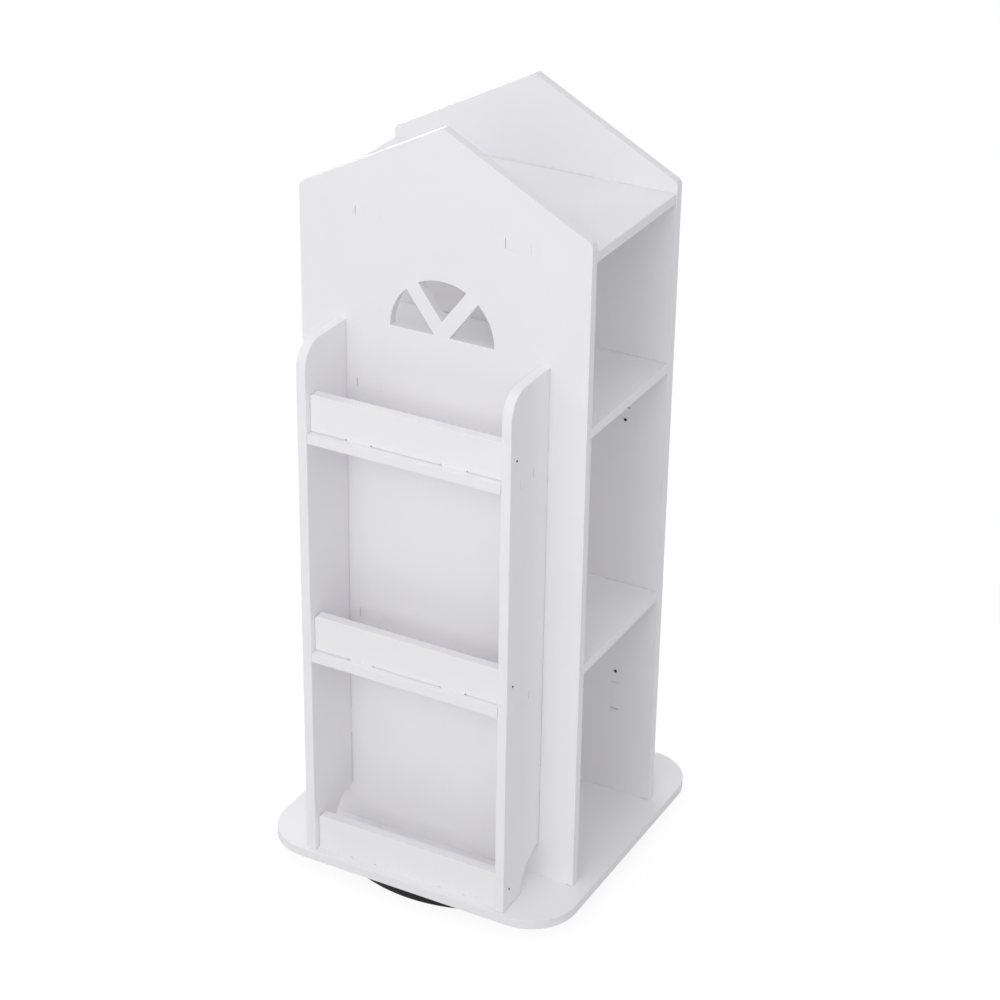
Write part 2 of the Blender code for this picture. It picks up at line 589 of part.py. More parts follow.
def make_pads(parent, surface):
    circle = DISC_RADIUS - PAD_INSET - PAD_RADIUS
    profile = [(0, 0), (PAD_RADIUS, 0), (PAD_RADIUS, PAD_HEIGHT), (0, PAD_HEIGHT)]
    mesh = turned_mesh("floor_pad", profile, surface, SMALL_STEPS, closed=False)
    for k, (x, y) in enumerate(arc((0, 0), circle, 0, 2 * math.pi, PAD_COUNT)[:-1]):
        put(f"floor_pad_{k + 1}", mesh, parent, (x, y, 0))


def main():
    for old in list(bpy.data.objects):
        bpy.data.objects.remove(old)
    white = material("white_board", (0.80, 0.80, 0.81), 0.45)
    black = material("black_plastic", (0.02, 0.02, 0.022), 0.5)
    steel = material("bright_steel", (0.62, 0.62, 0.64), 0.3, 1.0)
    dark_steel = material("dark_steel", (0.06, 0.06, 0.065), 0.4, 1.0)
    rubber = material("pad_rubber", (0.03, 0.03, 0.03), 0.9)

    fixed = put("turntable_stand", None, None)
    cage_turn = put("cage_turn", None, fixed)
    turn = put("bookcase_turn", None, fixed)

    make_turntable_base(fixed, black)
    make_pads(fixed, rubber)
    make_pivot(fixed, steel)
    make_ball_cage(cage_turn, steel)
    make_top_plate(turn, steel)
    plate_screw = screw_mesh(PLATE_SCREW_LENGTH, dark_steel)
    for k, (x, y) in enumerate(plate_screw_places()):
        screw(f"top_plate_screw_{k + 1}", plate_screw, turn, (x, y, PLATE_BOTTOM), (0, 0, 1))

    make_base_board(turn, white)
    base_screw = screw_mesh(BASE_SCREW_LENGTH, dark_steel)
    for word, side, panes in (("front", -1, window_panes()), ("rear", 1, ())):
        mesh = gable_mesh(f"{word}_gable", white, panes)
        far_face = side * GABLE_MIDDLE + BOARD / 2
        put(f"{word}_gable", mesh, turn, (0, far_face, BASE_TOP), right=(1, 0, 0), up=(0, 0, 1))
        for x, hand in zip(across(BASE_SCREW_SPACING), ("left", "right")):
            head = (x, side * GABLE_MIDDLE, BASE_BOTTOM)
            screw(f"{word}_gable_base_screw_{hand}", base_screw, turn, head, (0, 0, 1))
    make_shelf("lower_shelf", LOWER_SHELF_TOP, turn, white)
    make_shelf("upper_shelf", UPPER_SHELF_TOP, turn, white)
    make_shelf("roof_board", ROOF_BOARD_TOP, turn, white)

    meshes = {
        "side": rack_side_mesh(white),
        "shelf": rack_shelf_mesh(white),
        "lip": rack_lip_mesh(white),
        "lip_screw": screw_mesh(
            LIP_SCREW_LENGTH, dark_steel, LIP_SCREW_RADIUS, LIP_SCREW_HEAD_RADIUS, LIP_SCREW_HEAD_HEIGHT
        ),
        "side_screw": screw_mesh(SIDE_SCREW_LENGTH, dark_steel),
    }
    for word, side in (("front", 1), ("rear", -1)):
        face = (0, -side * BODY_DEPTH / 2, BASE_TOP)
        mount = put(f"{word}_rack_mount", None, turn, face, right=(side, 0, 0), up=(0, side, 0))
        make_rack(f"{word}_rack", mount, meshes)


main()
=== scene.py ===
"""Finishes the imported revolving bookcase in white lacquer, steel and plastic, and sets its stage.

Lengths are in metres, +Z is up, and the bookcase's front is towards -Y. The file is laid out as an
add-on: the settings are in property groups, and each group of like pieces has an operator.
"""

import math

import bmesh
import bpy
from bpy.props import FloatProperty, FloatVectorProperty, IntProperty, PointerProperty
from mathutils import Matrix, Vector


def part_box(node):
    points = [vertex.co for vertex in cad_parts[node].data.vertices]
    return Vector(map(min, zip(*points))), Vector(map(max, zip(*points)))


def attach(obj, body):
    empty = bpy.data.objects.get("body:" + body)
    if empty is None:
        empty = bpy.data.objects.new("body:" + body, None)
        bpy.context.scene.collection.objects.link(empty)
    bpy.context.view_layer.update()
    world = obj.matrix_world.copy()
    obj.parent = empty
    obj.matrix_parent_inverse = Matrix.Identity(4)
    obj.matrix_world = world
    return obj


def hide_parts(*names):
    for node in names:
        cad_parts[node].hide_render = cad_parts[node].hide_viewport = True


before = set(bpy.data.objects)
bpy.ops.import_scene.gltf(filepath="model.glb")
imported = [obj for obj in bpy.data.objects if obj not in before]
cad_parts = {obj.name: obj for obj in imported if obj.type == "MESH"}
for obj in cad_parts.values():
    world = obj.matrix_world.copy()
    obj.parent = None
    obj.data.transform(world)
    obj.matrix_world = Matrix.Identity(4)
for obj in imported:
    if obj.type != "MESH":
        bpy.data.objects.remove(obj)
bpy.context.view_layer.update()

bl_info = {
    "name": "Revolving Bookcase",
    "version": (1, 0, 0),
    "blender": (4, 5, 0),
    "location": "3D View > Sidebar > Bookcase",
    "description": "Finishes a revolving bookcase and lights it on a plain floor",
    "category": "Object",
}

X, Y, Z = range(3)

# Boards

MERGE_DISTANCE = 1e-6  # corners closer than this are one corner
FLAT_ANGLE = math.radians(0.5)  # faces that meet at less than this are one face
SHARP_ANGLE = math.radians(32)  # faces that meet at more than this keep a sharp edge between them
CUT_EDGE_LEAN = 0.7  # a cut edge's normal has less than this along the board's thickness
FLAT_HOLE = 0.040  # slots and screw holes are narrower than this, and window panes are wider
JOINT_REACH = 0.0026  # an edge this close to the board that it is held against stays square
SLOT_WIDTHS = (0.012, 0.018)  # the least and the most that a slot is wide
SLOT_CLOSING = 0.00024  # how far each long side of a slot comes in
SLOT_ENDS = {  # how far the two ends of a slot move out, by the axis that it lies along
    X: (0.0003, -0.00018),  # the left end, then the right one, where the tab sits closer
    Y: (0.0002, 0.0008),  # the end away from the gable, then the one near it
    Z: (0.0006, 0.0003),  # the lower end, then the upper one
}
FLAT_SLOT_ENDS = 0.0003  # how far both ends move out in a board that lies flat
TAB_END_DEPTH = 0.0006  # a tab's end is no deeper than this below the face that it comes through
TAB_END_LEFT = 0.0001  # and this deep once it is lacquered in
SHOULDER_REACH = 0.0006  # a shoulder this close to the board that carries it moves away
SHOULDER_OPENING = 0.0002  # by this much
NOTCH_REACH = (0.001, 0.0021)  # the notches at a tab's roots end this far from that board
NOTCH_DEEPER = 0.0004  # and are cut this much deeper
SEAM_OPENING = 0.0008  # how much further off the gable a rack side's back edge is at its foot
FOOT_HEIGHT = 0.0005  # a foot no higher than this above the base board comes down onto it
FOOT_LEFT = 0.00004  # and stays this far off

# Screws

HEAD_HEIGHT = 0.42  # these three are shares of the head's radius
SHANK_RADIUS = 0.46
THREAD_RADIUS = 0.6
HEAD_PROFILE = (  # a pan head's section, in shares of its own radius and height
    (0, 0),
    (0.55, -0.03),
    (0.78, -0.13),
    (0.93, -0.32),
    (1, -0.62),
    (1, -1),
)
SHANK_PROFILE = (  # in shares of the shank's radius and the screw's length
    (1, 0),
    (1, -0.88),
    (0.45, -0.96),
    (0, -1),
)
SCREW_STEPS = 28  # faces round a head and its shank
RECESS_BAR_HEIGHT = 1.3  # as a share of the head's. Half of each bar stands above the crown
RECESS_BAR_WIDTH = 0.22  # as a share of the bar's length
RECESS_BAR_TAPER = (0.6, 0.6, 1.0)  # a bar's size at the bottom, as a share of that at the top
THREADED = 0.78  # how much of the screw's length has a thread
THREAD_END = 0.9  # how far down the screw's length the thread ends
THREAD_CORNERS = 3  # of the thread's section
THREAD_STEPS = 14  # points to each turn of the thread

# Turntable

DISH_STEPS = 144  # faces round the dish
DISH_FLOOR = 0.010  # height of the dish's floor above its underside
POCKET_RADIUS, POCKET_DEPTH = 0.0088, 0.0075  # the pocket under the floor for the pivot
BOLT_HOLE_RADIUS = 0.0043
RACE_HEIGHT = 0.004  # height of the race above the floor
RACE_INNER, RACE_RADIUS, RACE_OUTER = 0.1, 0.11, 0.12
RACE_FOOT = 0.0006  # slope at the race's foot
RACE_CHAMFER = 0.0005
GROOVE_RADIUS = 0.0033
GROOVE_RISE = 0.00235  # how far the groove's centre is above the race
GROOVE_TURNS = range(-135, -44, 15)  # degrees round the groove's section
RIM_WIDTH = 0.006
RIM_SECTION = (  # metres in from the dish's outside, a level, and metres above that level
    (0.008, "floor", 0),
    (0.0066, "floor", 0.0006),
    (RIM_WIDTH, "floor", 0.002),
    (RIM_WIDTH, "top", -0.0006),
    (0.0058, "top", -0.0002),
    (0.0054, "top", 0),
    (0.0014, "top", 0),
    (0.0005, "top", -0.0003),
    (0, "top", -0.0012),
    (0, "bottom", 0.0045),
    (0.0004, "bottom", 0.0041),
    (0.0004, "bottom", 0.001),
    (0.0007, "bottom", 0.0003),
    (0.0014, "bottom", 0),
)
RIB_HEIGHT = 0.0035
RIB_SINK = 0.0005  # how far a rib runs into the race, the rim and the floor
BALL_SEGMENTS, BALL_RINGS = 24, 16  # faces round a ball, and from pole to pole
CAGE_STEPS = 120  # points round the ring that carries the balls

# Finishes

ZINC = (0.60, 0.61, 0.63)
RUBBER = (0.028, 0.028, 0.030)
NOISE_SPREAD = (0.3, 0.7)  # nearly all of the noise lies between these
WHITE = (1, 1, 1, 1)

# Stage

FLOOR_RADIUS = 30
FLOOR_STEPS = 64  # corners round its edge
FLOOR_ROUGHNESS = 0.9
FLOOR_COLOUR = (0.78, 0.78, 0.78, 1)  # of the light that the floor throws back
FLOOR_SHADE = (0.18, 0.18, 0.18, 1)  # the part of its look near the bookcase that takes a shadow
FLOOR_GLOW = 0.885  # the part that doesn't
FLOOR_NEAR, FLOOR_FAR = 0.45, 1.1  # the shadow fades out between these distances
SENSOR_WIDTH = 36  # of the camera, in millimetres
SOFTBOX_AIM = Vector((0, 0, 0.5))
SOFTBOX_DISTANCE = 3.6
SOFTBOXES = (  # name, degrees round from the front to the right, degrees up, width, and watts
    ("front_low", 0, 3, 1.0, 2.9),
    ("front", 0, 25, 2.0, 25.5),
    ("front_left", -30, 25, 2.0, 8.6),
    ("front_right", 30, 25, 2.0, 7.8),
    ("front_right_high", 30, 50, 2.0, 14.6),
    ("right", 90, 25, 2.0, 9.7),
    ("back_right_high", 150, 50, 2.0, 13.5),
    ("left_high", -90, 50, 2.0, 25.4),
    ("back_left_low", -150, 3, 1.0, 42.2),
)


# Settings


class BoardSettings(bpy.types.PropertyGroup):
    lacquer: FloatVectorProperty(
        name="Lacquer",
        description="Colour of the lacquer on the boards",
        subtype="COLOR",
        size=3,
        min=0,
        max=1,
        default=(0.946, 0.939, 0.962),
    )
    roughness: FloatProperty(
        name="Roughness",
        description="How matt the lacquer is",
        min=0.1,
        max=1,
        default=0.46,
        subtype="FACTOR",
    )
    rounding: FloatProperty(
        name="Edge Rounding",
        description="Radius of the boards' free edges",
        min=0.0002,
        max=0.003,
        default=0.0004,
        unit="LENGTH",
        precision=4,
    )
    rounding_steps: IntProperty(
        name="Edge Steps", description="Faces across each rounded edge", min=1, max=6, default=3
    )
    spray_size: FloatProperty(
        name="Spray Size",
        description="Width of the dimples that the spray gun leaves in the lacquer",
        min=0.0005,
        max=0.01,
        default=0.0022,
        unit="LENGTH",
        precision=4,
    )
    spray_depth: FloatProperty(
        name="Spray Depth",
        description="Depth of those dimples",
        min=0,
        max=0.0002,
        default=0.000012,
        unit="LENGTH",
        precision=6,
    )


class ScrewSettings(bpy.types.PropertyGroup):
    steel: FloatVectorProperty(
        name="Blackened Steel",
        description="Colour of the screws",
        subtype="COLOR",
        size=3,
        min=0,
        max=1,
        default=(0.055, 0.053, 0.052),
    )
    pitch: FloatProperty(
        name="Thread Pitch",
        description="Distance between turns of the thread, as a share of the head's radius",
        min=0.4,
        max=1.2,
        default=0.62,
        subtype="FACTOR",
    )
    recess: FloatProperty(
        name="Recess Width",
        description="Length of the cross recess as a share of the head's width",
        min=0.2,
        max=0.9,
        default=0.62,
        subtype="FACTOR",
    )
    turn_seed: IntProperty(
        name="Turn Seed", description="Picks how far each screw is turned", min=0, default=4
    )


class TurntableSettings(bpy.types.PropertyGroup):
    plastic: FloatVectorProperty(
        name="Black Plastic",
        description="Colour of the moulded dish",
        subtype="COLOR",
        size=3,
        min=0,
        max=1,
        default=(0.011, 0.011, 0.012),
    )
    ribs: IntProperty(
        name="Ribs", description="Stiffening ribs on the dish's floor", min=6, max=72, default=24
    )
    rib_thickness: FloatProperty(
        name="Rib Thickness",
        description="Thickness of each rib",
        min=0.001,
        max=0.004,
        default=0.0018,
        unit="LENGTH",
        precision=4,
    )
    balls: IntProperty(name="Balls", description="Balls in the race", min=6, max=36, default=12)


class StageSettings(bpy.types.PropertyGroup):
    camera_place: FloatVectorProperty(
        name="Camera",
        description="Where the camera stands",
        subtype="TRANSLATION",
        size=3,
        unit="LENGTH",
        default=(1.4641, -2.7113, 2.1305),
    )
    camera_turn: FloatVectorProperty(
        name="Turn",
        description="How far the camera is tipped forward, rolled and turned",
        subtype="EULER",
        size=3,
        default=(math.radians(27.85), math.radians(0.89), math.radians(28.06)),
    )
    focal_length: FloatProperty(
        name="Focal Length",
        description="Focal length in millimetres",
        min=20,
        max=300,
        default=96.829,
    )
    sky: FloatProperty(
        name="Sky", description="Brightness of the soft light all round", min=0, max=3, default=0.3
    )
    lamps: FloatProperty(
        name="Lamps",
        description="Power of all the softboxes, as a share of what they are set to",
        min=0,
        default=1,
    )


# Node trees


class Tree:
    """Adds nodes to a tree and joins them, so that each node takes one line."""

    def __init__(self, tree):
        self.tree = tree

    def add(self, kind, label="", **settings):
        """A node with its attributes set, and with inputs set or joined by the names in `at`."""
        inputs = settings.pop("at", {})
        made = self.tree.nodes.new(kind)
        made.label = label
        for key, value in settings.items():
            setattr(made, key, value)
        for key, value in inputs.items():
            self.feed(made.inputs[key], value)
        return made

    def feed(self, entry, value):
        """Joins an output to this input, or sets it. A list feeds an input that takes several."""
        if isinstance(value, list):
            for one in value:
                self.feed(entry, one)
        elif isinstance(value, bpy.types.NodeSocket):
            self.tree.links.new(value, entry)
        elif isinstance(value, bpy.types.Node):
            self.tree.links.new(value.outputs[0], entry)
        else:
            entry.default_value = value

    def maths(self, operation, first, second):
        return self.add("ShaderNodeMath", operation=operation, at={0: first, 1: second})

    def vectors(self, operation, first, second):
        return self.add("ShaderNodeVectorMath", operation=operation, at={0: first, 1: second})

    def vector(self, **parts):
        """A vector of these parts, by the letters of their axes. A part that isn't given is 0."""
        return self.add("ShaderNodeCombineXYZ", at=parts)

    def part(self, vector, letter):
        return self.add("ShaderNodeSeparateXYZ", at={0: vector}).outputs[letter]


def shader_tree(name):
    """A new material, with its tree, its Principled shader and the place on the piece."""
    material = bpy.data.materials.new(name)
    material.use_nodes = True
    tree = Tree(material.node_tree)
    place = tree.add("ShaderNodeTexCoord").outputs["Object"]
    return material, tree, material.node_tree.nodes["Principled BSDF"], place


def noise(tree, place, size, detail, label):
    """Noise whose blotches are about this many metres across."""
    at = {"Vector": place, "Scale": 1 / size, "Detail": detail, "Roughness": 0.5}
    return tree.add("ShaderNodeTexNoise", label, at=at).outputs["Fac"]


def ranged(tree, value, low, high):
    """Noise, stretched over this range."""
    least, most = NOISE_SPREAD
    at = {"Value": value, "From Min": least, "From Max": most, "To Min": low, "To Max": high}
    return tree.add("ShaderNodeMapRange", at=at).outputs["Result"]


def tinted(tree, colour, value, low, high):
    """The colour, made lighter and darker between two shares of itself."""
    at = {0: colour, "Scale": ranged(tree, value, low, high)}
    return tree.add("ShaderNodeVectorMath", operation="SCALE", at=at).outputs["Vector"]


def dented(tree, height, depth, **under):
    """The normal of a surface with dents this deep, over those of the Normal that is given."""
    at = {"Strength": 1.0, "Distance": depth, "Height": height, **under}
    return tree.add("ShaderNodeBump", at=at).outputs["Normal"]


def finish(tree, shader, colour, roughness, normal):
    """Joins these to the shader."""
    for word, value in (("Base Color", colour), ("Roughness", roughness), ("Normal", normal)):
        tree.feed(shader.inputs[word], value)


# Materials


def lacquered_board(settings):
    """White lacquer sprayed on board, dimpled, and a little rougher on the cut edges."""
    material, tree, shader, place = shader_tree("white_lacquer")
    cut = tree.add("ShaderNodeAttribute", "Cut edge", attribute_name="cut_edge").outputs["Fac"]
    cloud = noise(tree, place, 0.12, 3.0, "Thickness of the coat")
    dimples = noise(tree, place, settings.spray_size, 2.0, "Spray dimples")
    fibres = noise(tree, place, 0.0007, 3.0, "Fibres of the cut edge")
    colour = tinted(tree, settings.lacquer, cloud, 0.992, 1.006)
    on_faces = ranged(tree, cloud, settings.roughness - 0.03, settings.roughness + 0.03)
    on_edges = settings.roughness + 0.14
    rough = tree.add("ShaderNodeMix", "Rougher where cut", at={0: cut, 2: on_faces, 3: on_edges})
    coat = dented(tree, dimples, settings.spray_depth)
    grain = dented(tree, tree.maths("MULTIPLY", fibres, cut), 0.00001, Normal=coat)
    finish(tree, shader, colour, rough, grain)
    shader.inputs["Coat Weight"].default_value = 0.12
    shader.inputs["Coat Roughness"].default_value = 0.3
    return material


def moulded_plastic(colour):
    """Black plastic from a spark-finished mould: an even fine grain and a soft sheen."""
    material, tree, shader, place = shader_tree("moulded_black_plastic")
    grain = noise(tree, place, 0.0006, 2.0, "Mould grain")
    cloud = noise(tree, place, 0.05, 3.0, "Flow of the plastic")
    colours = tinted(tree, colour, cloud, 0.9, 1.12)
    finish(tree, shader, colours, ranged(tree, cloud, 0.44, 0.54), dented(tree, grain, 0.00003))
    shader.inputs["Specular IOR Level"].default_value = 0.22
    return material


def blackened_steel(colour):
    """Black-oxide screws: dark, slightly uneven, with a dull metal sheen."""
    material, tree, shader, place = shader_tree("blackened_steel")
    blotch = noise(tree, place, 0.0015, 3.0, "Uneven oxide")
    colours = tinted(tree, colour, blotch, 0.75, 1.3)
    finish(tree, shader, colours, ranged(tree, blotch, 0.32, 0.5), dented(tree, blotch, 0.00001))
    shader.inputs["Metallic"].default_value = 1.0
    return material


def zinc_plated_steel():
    """Zinc-plated steel: bright, with fine rolling lines along X and a clouded plating."""
    material, tree, shader, place = shader_tree("zinc_plated_steel")
    stretched = tree.add("ShaderNodeMapping", at={"Vector": place, "Scale": (0.03, 1.0, 1.0)})
    lines = noise(tree, stretched, 0.0005, 2.0, "Rolling lines")
    cloud = noise(tree, place, 0.009, 4.0, "Clouded zinc")
    colours = tinted(tree, ZINC, cloud, 0.9, 1.08)
    finish(tree, shader, colours, ranged(tree, cloud, 0.26, 0.38), dented(tree, lines, 0.000008))
    shader.inputs["Metallic"].default_value = 1.0
    return material


def foot_rubber():
    """Soft black rubber with a dusty, open surface."""
    material, tree, shader, place = shader_tree("foot_rubber")
    pores = noise(tree, place, 0.0008, 3.0, "Pores")
    colours = tinted(tree, RUBBER, pores, 0.8, 1.3)
    finish(tree, shader, colours, ranged(tree, pores, 0.82, 0.95), dented(tree, pores, 0.00005))
    return material


def seen_directly(tree):
    """1 for what the camera sees, straight or in metal and glass, and 0 for light on things."""
    path = tree.add("ShaderNodeLightPath").outputs
    either = tree.maths("MAXIMUM", path["Is Camera Ray"], path["Is Glossy Ray"])
    return tree.maths("MAXIMUM", either, path["Is Transmission Ray"])


def pale_floor():
    """A floor that looks white, and keeps a soft shadow close to the bookcase."""
    material, tree, shader, place = shader_tree("pale_floor")
    away = tree.add("ShaderNodeVectorMath", operation="LENGTH", at={0: place}).outputs["Value"]
    near = tree.add(
        "ShaderNodeMapRange",
        "Near the bookcase",
        interpolation_type="SMOOTHSTEP",
        at={"Value": away, "From Min": FLOOR_NEAR, "From Max": FLOOR_FAR, "To Min": 1, "To Max": 0},
    ).outputs["Result"]
    white = tree.add("ShaderNodeEmission", at={"Color": WHITE, "Strength": 1.0})
    shade = tree.add("ShaderNodeBsdfDiffuse", at={"Color": FLOOR_SHADE})
    glow = tree.add("ShaderNodeEmission", at={"Color": WHITE, "Strength": FLOOR_GLOW})
    shadowed = tree.add("ShaderNodeAddShader", at={0: shade, 1: glow})
    looks = tree.add("ShaderNodeMixShader", at={0: near, 1: white, 2: shadowed})
    shader.inputs["Base Color"].default_value = FLOOR_COLOUR
    shader.inputs["Roughness"].default_value = FLOOR_ROUGHNESS
    whole = tree.add("ShaderNodeMixShader", at={0: seen_directly(tree), 1: shader, 2: looks})
    tree.feed(material.node_tree.nodes["Material Output"].inputs["Surface"], whole)
    return material


def shared_material(name, make, *settings):
    """The material of this name, made once."""
    return bpy.data.materials.get(name) or make(*settings)


# Pieces


def piece(name, mesh, body, replaced, material=None):
    """A finished piece at the origin that rides on a body and stands for CAD nodes."""
    old = bpy.data.objects.get(name)
    if old:
        bpy.data.objects.remove(old)
    made = bpy.data.objects.new(name, mesh)
    bpy.context.scene.collection.objects.link(made)
    if material:
        mesh.materials.clear()
        mesh.materials.append(material)
    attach(made, body)
    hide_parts(*replaced)
    return made


def outline_loops(rims):
    """The rim edges of a board, gathered into closed loops."""
    left = set(rims)
    loops = []
    while left:
        loop, reached = set(), [left.pop()]
        while reached:
            edge = reached.pop()
            loop.add(edge)
            for vertex in edge.verts:
                for other in vertex.link_edges:
                    if other in left:
                        left.remove(other)
                        reached.append(other)
        loops.append(loop)
    return loops


def thin_axis(low, high):
    """The axis that a board is thinnest along."""
    return min(range(3), key=lambda k: high[k] - low[k])


def near_box(point, box):
    low, high = box
    return all(low[k] - JOINT_REACH < point[k] < high[k] + JOINT_REACH for k in range(3))


def end_opening(thin, along, way, middle):
    """How far the end of a slot moves out that lies this way from the slot's middle."""
    if thin == Z:
        return FLAT_SLOT_ENDS
    if along == Y:
        return SLOT_ENDS[Y][way * middle.y < 0]
    return SLOT_ENDS[along][way > 0]


def close_slots(loops, thin):
    """Narrows a board's slots until they nearly touch their tabs, as the lacquer leaves them."""
    for loop in loops:
        corners = {v for edge in loop for v in edge.verts}
        low = Vector([min(v.co[k] for v in corners) for k in range(3)])
        high = Vector([max(v.co[k] for v in corners) for k in range(3)])
        spans = [high[k] - low[k] if k != thin else 1 for k in range(3)]
        across = min(range(3), key=lambda k: spans[k])
        if not SLOT_WIDTHS[0] < spans[across] < SLOT_WIDTHS[1]:
            continue
        along = X + Y + Z - thin - across
        middle = (low + high) / 2
        for corner in corners:
            corner.co[across] -= math.copysign(SLOT_CLOSING, corner.co[across] - middle[across])
            way = math.copysign(1, corner.co[along] - middle[along])
            corner.co[along] += way * end_opening(thin, along, way, middle)


def reach_through(bm, boxes):
    """Moves the ends of a board's tabs out to just below the far face of their carrier."""
    for low, high in boxes:
        thin = thin_axis(low, high)
        others = [k for k in range(3) if k != thin]
        for corner in bm.verts:
            if not all(low[k] < corner.co[k] < high[k] for k in others):
                continue
            for face, way in ((low[thin], 1), (high[thin], -1)):
                if 0 < (corner.co[thin] - face) * way < TAB_END_DEPTH:
                    corner.co[thin] = face + way * TAB_END_LEFT


def open_shoulders(bm, boxes):
    """Moves a board's shoulders a little further from its carriers, and deepens the notches."""
    for low, high in boxes:
        thin = thin_axis(low, high)
        for corner in bm.verts:
            for face, way in ((low[thin], -1), (high[thin], 1)):
                gap = (corner.co[thin] - face) * way
                if 0 < gap < SHOULDER_REACH:
                    corner.co[thin] += way * SHOULDER_OPENING
                elif NOTCH_REACH[0] < gap < NOTCH_REACH[1]:
                    corner.co[thin] += way * NOTCH_DEEPER


def open_seam(bm, bottom, top, gable):
    """Leans the back edge of a rack's side away from the gable, by more the lower it is."""
    for face, way in ((gable[0].y, -1), (gable[1].y, 1)):
        for corner in bm.verts:
            if 0 < (corner.co.y - face) * way < NOTCH_REACH[1]:
                corner.co.y += way * SEAM_OPENING * (top - corner.co.z) / (top - bottom)


def settle(bm, seat):
    """Moves the undersides of a board's feet down onto the face that they stand on."""
    for corner in bm.verts:
        if 0 < corner.co.z - seat < FOOT_HEIGHT:
            corner.co.z = seat + FOOT_LEFT


def eased_board(context, node, carriers, material):
    """A lacquered copy of a CAD board, with a small round on each edge that touches no board.

    The carriers are the boards that its tabs go through.
    """
    low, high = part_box(node)
    thin = thin_axis(low, high)
    boxes = [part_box(carrier) for carrier in carriers]
    bm = bmesh.new()
    bm.from_mesh(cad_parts[node].data)
    bmesh.ops.remove_doubles(bm, verts=bm.verts, dist=MERGE_DISTANCE)
    bmesh.ops.dissolve_limit(bm, angle_limit=FLAT_ANGLE, verts=bm.verts, edges=bm.edges)
    cut = bm.faces.layers.float.new("cut_edge")
    for face in bm.faces:
        face[cut] = float(abs(face.normal[thin]) < CUT_EDGE_LEAN)
    inner = [edge for edge in bm.edges if len(edge.link_faces) == 2]
    loops = outline_loops([e for e in inner if sum(face[cut] for face in e.link_faces) == 1])
    close_slots(loops, thin)
    reach_through(bm, boxes)
    if "base_board" in carriers:
        settle(bm, boxes[carriers.index("base_board")][1].z)
    elif thin == X:
        open_seam(bm, low.z, high.z, boxes[0])
    else:
        open_shoulders(bm, boxes)
    free = []
    for loop in loops:
        corners = [v.co for edge in loop for v in edge.verts]
        spans = sorted(max(c[k] for c in corners) - min(c[k] for c in corners) for k in range(3))
        if spans[1] < FLAT_HOLE:
            continue
        for edge in loop:
            middle = (edge.verts[0].co + edge.verts[1].co) / 2
            if not any(near_box(middle, box) for box in boxes):
                free.append(edge)
    round_over(bm, free, context.scene.bookcase_boards)
    mesh = bpy.data.meshes.new(node + "_board")
    bm.to_mesh(mesh)
    bm.free()
    return piece(node + "_board", mesh, "bookcase", [node], material)


def round_over(bm, edges, settings):
    """Rounds these edges, and keeps the shading of the rounds apart from that of the flat faces."""
    made = bmesh.ops.bevel(
        bm,
        geom=edges,
        offset=settings.rounding,
        offset_type="OFFSET",
        segments=settings.rounding_steps,
        profile=0.5,
        affect="EDGES",
        clamp_overlap=False,
        loop_slide=False,
    )
    rounds = set(made["faces"])
    for face in bm.faces:
        face.smooth = True
    for edge in bm.edges:
        alike = len({face in rounds for face in edge.link_faces}) == 1
        edge.smooth = alike and edge.calc_face_angle(0) < SHARP_ANGLE


def make_boards(context, nodes):
    """A board for each node, whose carriers are given with it."""
    settings = context.scene.bookcase_boards
    material = shared_material("white_lacquer", lacquered_board, settings)
    for node, carriers in nodes.items():
        eased_board(context, node, carriers, material)


# Geometry trees


def geometry_tree(name, inputs):
    """A geometry tree with these named inputs. Each is (name, kind, default)."""
    group = bpy.data.node_groups.new(name, "GeometryNodeTree")
    face = group.interface
    face.new_socket("Geometry", in_out="INPUT", socket_type="NodeSocketGeometry")
    for word, kind, value in inputs:
        made = face.new_socket(word, in_out="INPUT", socket_type="NodeSocket" + kind)
        if value is not None:
            made.default_value = value
    face.new_socket("Geometry", in_out="OUTPUT", socket_type="NodeSocketGeometry")
    tree = Tree(group)
    return group, tree, tree.add("NodeGroupInput").outputs


def close_tree(tree, geometry, material):
    """Ends a geometry tree: instances are made real, and the material is set."""
    real = tree.add("GeometryNodeRealizeInstances", at={0: geometry})
    painted = tree.add("GeometryNodeSetMaterial", at={"Geometry": real, "Material": material})
    tree.feed(tree.add("NodeGroupOutput").inputs[0], painted)


def grown(group, mesh, name, values):
    """The plain mesh that a geometry tree makes from this one, with the tree's inputs set."""
    maker = bpy.data.objects.new(name + "_maker", mesh)
    bpy.context.scene.collection.objects.link(maker)
    modifier = maker.modifiers.new(group.name, "NODES")
    modifier.node_group = group
    sockets = [item for item in group.interface.items_tree if item.item_type == "SOCKET"]
    identifiers = {item.name: item.identifier for item in sockets if item.in_out == "INPUT"}
    for word, value in values.items():
        modifier[identifiers[word]] = value
    bpy.context.view_layer.update()
    graph = bpy.context.evaluated_depsgraph_get()
    made = bpy.data.meshes.new_from_object(maker.evaluated_get(graph))
    bpy.data.objects.remove(maker)
    if not made.polygons:
        raise RuntimeError(f"the geometry tree made no faces for {name}")
    made.name = name
    made.shade_smooth()
    made.set_sharp_from_angle(angle=SHARP_ANGLE)
    return made


